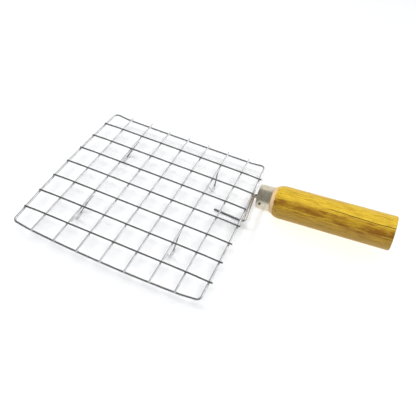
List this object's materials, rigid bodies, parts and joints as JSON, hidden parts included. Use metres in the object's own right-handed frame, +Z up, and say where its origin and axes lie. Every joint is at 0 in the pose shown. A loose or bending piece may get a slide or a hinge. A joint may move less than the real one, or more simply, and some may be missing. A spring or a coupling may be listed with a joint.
{
  "type": "wire roasting grill",
  "caption": "Flat square wire mesh on bent wire feet, with a cranked wire shank, a metal ferrule and a round wooden handle, for roasting flatbread over a flame.",
  "frame": {"origin": "on the table plane the feet stand on, under the middle of the whole outline", "axes": "+X from the mesh towards the handle's outer end, +Y towards the side the handle is cranked to, +Z up"},
  "size_m": [0.28, 0.165, 0.0391],
  "materials": {
    "frame_wire": "bright plated wire, slightly dulled",
    "long_wire": "bright plated drawn wire",
    "cross_wire": "bright plated drawn wire",
    "foot_wire": "bright plated drawn wire",
    "shank_wire": "bright plated thick wire",
    "ferrule": "satin zinc-plated sheet",
    "nail": "dull dark steel",
    "wood": "yellow varnish over streaky grain"
  },
  "bodies": {
    "root": {"perimeter_frame": "frame_wire", "long_wire_1": "long_wire", "long_wire_2": "long_wire", "long_wire_3": "long_wire", "long_wire_4": "long_wire", "long_wire_5": "long_wire", "long_wire_6": "long_wire", "long_wire_7": "long_wire", "cross_wire_1": "cross_wire", "cross_wire_2": "cross_wire", "cross_wire_3": "cross_wire", "cross_wire_4": "cross_wire", "cross_wire_5": "cross_wire", "cross_wire_6": "cross_wire", "cross_wire_7": "cross_wire", "foot_near_left": "foot_wire", "foot_far_left": "foot_wire", "foot_near_right": "foot_wire", "foot_far_right": "foot_wire", "handle_shank": "shank_wire", "ferrule": "ferrule", "ferrule_nail": "nail", "wooden_handle": "wood"}
  },
  "joints": []
}
